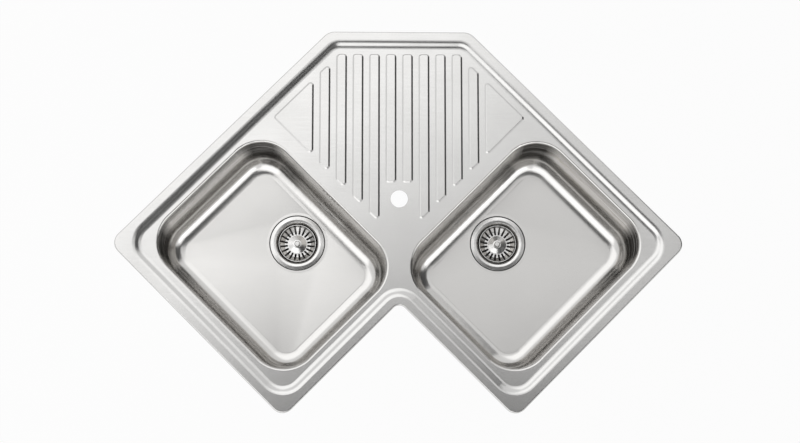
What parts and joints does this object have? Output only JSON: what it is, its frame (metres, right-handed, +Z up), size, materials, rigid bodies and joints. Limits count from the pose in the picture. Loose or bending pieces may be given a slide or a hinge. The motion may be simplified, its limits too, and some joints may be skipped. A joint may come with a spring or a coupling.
{
  "type": "corner kitchen sink",
  "caption": "Inset corner kitchen sink in pressed steel: a bowl on each arm, a ribbed drainer in the corner, lift-out basket strainers, an overflow and rim clamps.",
  "frame": {"origin": "centre of the tap hole, in the plane of the worktop's surface", "axes": "+X to the right of the person who stands at the sink, +Y away from them towards the corner of the room, +Z up"},
  "size_m": [1.153, 0.7843, 0.2537],
  "materials": {
    "brushed_steel": "fine brushed stainless steel",
    "polished_steel": "bright polished stainless steel",
    "plated_steel": "dull zinc-plated steel",
    "brass": "plain turned brass",
    "black_rubber": "matte black rubber",
    "seal_foam": "closed-cell foam tape",
    "damping_pad": "matte bitumen-rubber sheet",
    "white_plastic": "satin moulded polypropylene",
    "grey_plastic": "satin moulded plastic"
  },
  "bodies": {
    "sink": {"deck": "brushed_steel", "earth_tag": "plated_steel", "fixing_brackets": "plated_steel", "fixing_nuts": "plated_steel", "left_body_gasket": "black_rubber", "left_bowl": "brushed_steel", "left_clamp_screw": "polished_steel", "left_flange_gasket": "black_rubber", "left_hose_clips": "plated_steel", "left_insert_nut": "brass", "left_overflow_gasket": "black_rubber", "left_overflow_hose": "grey_plastic", "left_overflow_housing": "white_plastic", "left_overflow_screw": "polished_steel", "left_sound_pad": "damping_pad", "left_strainer_flange": "polished_steel", "left_waste_body": "white_plastic", "right_body_gasket": "black_rubber", "right_bowl": "brushed_steel", "right_clamp_screw": "polished_steel", "right_flange_gasket": "black_rubber", "right_insert_nut": "brass", "right_sound_pad": "damping_pad", "right_strainer_flange": "polished_steel", "right_waste_body": "white_plastic", "rim_seal": "seal_foam"},
    "left_strainer": {"left_basket": "polished_steel", "left_basket_knob": "polished_steel", "left_basket_stem": "grey_plastic", "left_basket_stopper": "black_rubber"},
    "left_screw_1": {"left_fixing_screw_1": "plated_steel"},
    "left_clamp_1": {"left_claw_1": "plated_steel"},
    "left_screw_2": {"left_fixing_screw_2": "plated_steel"},
    "left_clamp_2": {"left_claw_2": "plated_steel"},
    "left_screw_3": {"left_fixing_screw_3": "plated_steel"},
    "left_clamp_3": {"left_claw_3": "plated_steel"},
    "left_screw_4": {"left_fixing_screw_4": "plated_steel"},
    "left_clamp_4": {"left_claw_4": "plated_steel"},
    "right_strainer": {"right_basket": "polished_steel", "right_basket_knob": "polished_steel", "right_basket_stem": "grey_plastic", "right_basket_stopper": "black_rubber"},
    "right_screw_1": {"right_fixing_screw_1": "plated_steel"},
    "right_clamp_1": {"right_claw_1": "plated_steel"},
    "right_screw_2": {"right_fixing_screw_2": "plated_steel"},
    "right_clamp_2": {"right_claw_2": "plated_steel"},
    "right_screw_3": {"right_fixing_screw_3": "plated_steel"},
    "right_clamp_3": {"right_claw_3": "plated_steel"},
    "right_screw_4": {"right_fixing_screw_4": "plated_steel"},
    "right_clamp_4": {"right_claw_4": "plated_steel"}
  },
  "joints": [
    {"name": "left_strainer_lift", "type": "slide", "parent": "sink", "child": "left_strainer", "axis": [0, 0, 1], "range_m": [0, 0.21]},
    {"name": "left_screw_1_height", "type": "slide", "parent": "sink", "child": "left_screw_1", "axis": [0, 0, 1], "range_m": [0, 0.0165]},
    {"name": "left_claw_1_swing", "type": "hinge", "parent": "left_screw_1", "child": "left_clamp_1", "pos_m": [-0.21355, 0.24186, -0.062], "axis": [0, 0, -1], "range_deg": [0, 90]},
    {"name": "left_screw_2_height", "type": "slide", "parent": "sink", "child": "left_screw_2", "axis": [0, 0, 1], "range_m": [0, 0.0165]},
    {"name": "left_claw_2_swing", "type": "hinge", "parent": "left_screw_2", "child": "left_clamp_2", "pos_m": [-0.43275, 0.02265, -0.062], "axis": [0, 0, -1], "range_deg": [0, 90]},
    {"name": "left_screw_3_height", "type": "slide", "parent": "sink", "child": "left_screw_3", "axis": [0, 0, 1], "range_m": [0, 0.0165]},
    {"name": "left_claw_3_swing", "type": "hinge", "parent": "left_screw_3", "child": "left_clamp_3", "pos_m": [-0.39032, -0.24888, -0.062], "axis": [0, 0, -1], "range_deg": [0, 90]},
    {"name": "left_screw_4_height", "type": "slide", "parent": "sink", "child": "left_screw_4", "axis": [0, 0, 1], "range_m": [0, 0.0165]},
    {"name": "left_claw_4_swing", "type": "hinge", "parent": "left_screw_4", "child": "left_clamp_4", "pos_m": [-0.13647, -0.30898, -0.062], "axis": [0, 0, -1], "range_deg": [0, 90]},
    {"name": "right_strainer_lift", "type": "slide", "parent": "sink", "child": "right_strainer", "axis": [0, 0, 1], "range_m": [0, 0.21]},
    {"name": "right_screw_1_height", "type": "slide", "parent": "sink", "child": "right_screw_1", "axis": [0, 0, 1], "range_m": [0, 0.0165]},
    {"name": "right_claw_1_swing", "type": "hinge", "parent": "right_screw_1", "child": "right_clamp_1", "pos_m": [0.21355, 0.24186, -0.062], "axis": [0, 0, 1], "range_deg": [0, 90]},
    {"name": "right_screw_2_height", "type": "slide", "parent": "sink", "child": "right_screw_2", "axis": [0, 0, 1], "range_m": [0, 0.0165]},
    {"name": "right_claw_2_swing", "type": "hinge", "parent": "right_screw_2", "child": "right_clamp_2", "pos_m": [0.43275, 0.02265, -0.062], "axis": [0, 0, 1], "range_deg": [0, 90]},
    {"name": "right_screw_3_height", "type": "slide", "parent": "sink", "child": "right_screw_3", "axis": [0, 0, 1], "range_m": [0, 0.0165]},
    {"name": "right_claw_3_swing", "type": "hinge", "parent": "right_screw_3", "child": "right_clamp_3", "pos_m": [0.39032, -0.24888, -0.062], "axis": [0, 0, 1], "range_deg": [0, 90]},
    {"name": "right_screw_4_height", "type": "slide", "parent": "sink", "child": "right_screw_4", "axis": [0, 0, 1], "range_m": [0, 0.0165]},
    {"name": "right_claw_4_swing", "type": "hinge", "parent": "right_screw_4", "child": "right_clamp_4", "pos_m": [0.13647, -0.30898, -0.062], "axis": [0, 0, 1], "range_deg": [0, 90]}
  ]
}
